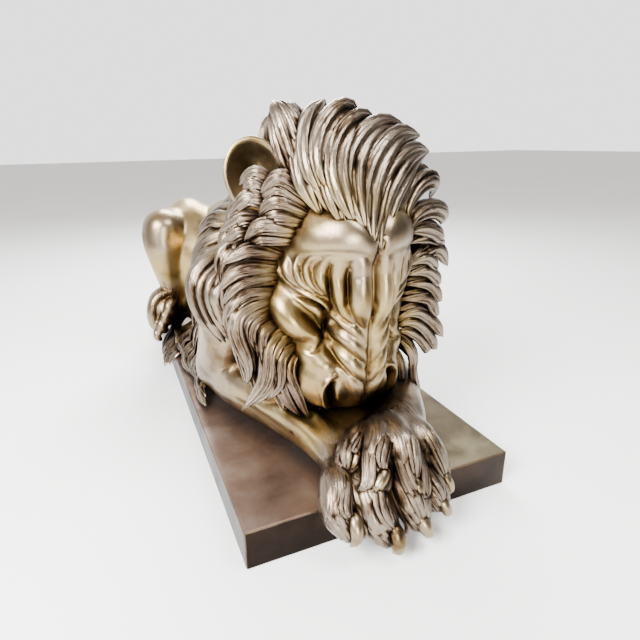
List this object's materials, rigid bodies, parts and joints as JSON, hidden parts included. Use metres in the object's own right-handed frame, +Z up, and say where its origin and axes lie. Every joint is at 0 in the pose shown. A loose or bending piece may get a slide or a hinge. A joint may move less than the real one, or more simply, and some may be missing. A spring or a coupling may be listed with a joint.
{
  "type": "sleeping lion statue",
  "caption": "Life-size cast bronze lion asleep with its head on its crossed forepaws, full mane, on its own low rectangular plinth.",
  "frame": {"origin": "middle of the plinth's underside", "axes": "+Z up, +Y from the lion's paws towards its rump, so the lion faces -Y, +X towards the lion's left"},
  "size_m": [0.9213, 1.9423, 1.0387],
  "materials": {
    "lion_bronze": "golden-brown patinated bronze, rubbed bright on the high places, semi-gloss",
    "plinth_bronze": "dark brown patinated bronze with a cloudy pinkish top and worn arrises, semi-gloss"
  },
  "bodies": {
    "root": {"lion": "lion_bronze", "plinth": "plinth_bronze"}
  },
  "joints": []
}
